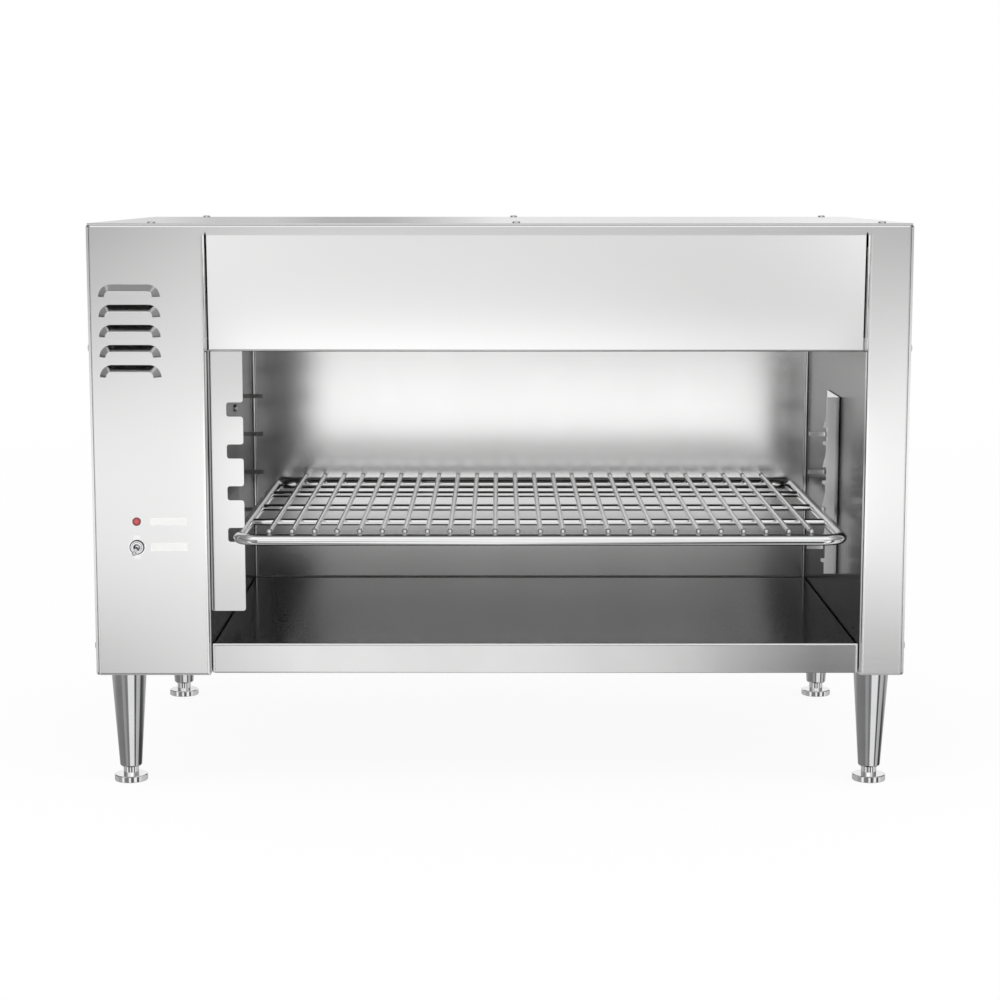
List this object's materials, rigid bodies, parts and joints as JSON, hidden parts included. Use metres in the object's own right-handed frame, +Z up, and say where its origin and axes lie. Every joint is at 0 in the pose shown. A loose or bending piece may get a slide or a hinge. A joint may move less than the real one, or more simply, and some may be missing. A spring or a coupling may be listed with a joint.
{
  "type": "cheese melter",
  "caption": "Electric countertop cheese melter: open-fronted stainless cabinet with hood, chrome wire rack in notched guides, pull-out crumb tray, toggle switch and adjustable tapered legs.",
  "frame": {"origin": "on the floor under the middle of the whole object's box", "axes": "+X along the width, to the right as seen from the open front; +Y from the open front to the back; +Z up"},
  "size_m": [0.9188, 0.5349, 0.6397],
  "materials": {
    "panel_steel": "fine vertical brush, satin",
    "cavity_steel": "bright mill finish",
    "insulation": "mineral wool",
    "element_sheath": "oxidised metal sheath",
    "white_ceramic": "glazed ceramic",
    "screw_steel": "plain",
    "chrome_wire": "bright chrome",
    "leg_chrome": "bright turned metal",
    "black_plastic": "moulded",
    "switch_chrome": "bright",
    "red_lens": "translucent red"
  },
  "bodies": {
    "cabinet": {"front_frame": "panel_steel", "top_panel": "panel_steel", "left_side_panel": "panel_steel", "right_side_panel": "panel_steel", "back_panel": "panel_steel", "base_pan": "panel_steel", "cavity_left_wall": "cavity_steel", "cavity_right_wall": "cavity_steel", "cavity_back_wall": "cavity_steel", "cavity_ceiling": "cavity_steel", "ceiling_insulation": "insulation", "front_baffle": "cavity_steel", "heating_element_front": "element_sheath", "heating_element_middle": "element_sheath", "heating_element_rear": "element_sheath", "element_insulators": "white_ceramic", "element_hangers": "cavity_steel", "left_rack_guide": "cavity_steel", "right_rack_guide": "cavity_steel", "guide_screws": "screw_steel", "switch_body": "black_plastic", "switch_bushing": "switch_chrome", "switch_legend_plate": "switch_chrome", "switch_dress_nut": "switch_chrome", "pilot_body": "black_plastic", "pilot_lens": "red_lens", "component_plate": "panel_steel", "terminal_block": "black_plastic", "contactor": "black_plastic", "inlet_bushing": "black_plastic", "inlet_locknut": "screw_steel", "front_left_leg": "leg_chrome", "front_right_leg": "leg_chrome", "rear_left_leg": "leg_chrome", "rear_right_leg": "leg_chrome", "leg_nuts": "screw_steel", "top_screws": "screw_steel", "side_screws": "screw_steel", "back_screws": "screw_steel", "base_screws": "screw_steel"},
    "rack": {"rack_rail": "chrome_wire", "rack_cross_rods": "chrome_wire", "rack_wires": "chrome_wire"},
    "crumb_tray": {"crumb_tray": "cavity_steel"},
    "switch_lever": {"switch_lever": "switch_chrome"},
    "front_left_foot": {"front_left_foot": "leg_chrome"},
    "front_right_foot": {"front_right_foot": "leg_chrome"},
    "rear_left_foot": {"rear_left_foot": "leg_chrome"},
    "rear_right_foot": {"rear_right_foot": "leg_chrome"}
  },
  "joints": [
    {"name": "rack_slide", "type": "slide", "parent": "cabinet", "child": "rack", "axis": [0, -1, 0], "range_m": [0, 0.15]},
    {"name": "tray_slide", "type": "slide", "parent": "cabinet", "child": "crumb_tray", "axis": [0, -1, 0], "range_m": [0, 0.42]},
    {"name": "switch_toggle", "type": "hinge", "parent": "cabinet", "child": "switch_lever", "pos_m": [-0.4074, -0.24482, 0.2762], "axis": [-1, 0, 0], "range_deg": [0, 21]},
    {"name": "front_left_foot_screw", "type": "slide", "parent": "cabinet", "child": "front_left_foot", "axis": [0, 0, 1], "range_m": [-0.025, 0.009]},
    {"name": "front_right_foot_screw", "type": "slide", "parent": "cabinet", "child": "front_right_foot", "axis": [0, 0, 1], "range_m": [-0.025, 0.009]},
    {"name": "rear_left_foot_screw", "type": "slide", "parent": "cabinet", "child": "rear_left_foot", "axis": [0, 0, 1], "range_m": [-0.025, 0.009]},
    {"name": "rear_right_foot_screw", "type": "slide", "parent": "cabinet", "child": "rear_right_foot", "axis": [0, 0, 1], "range_m": [-0.025, 0.009]}
  ]
}
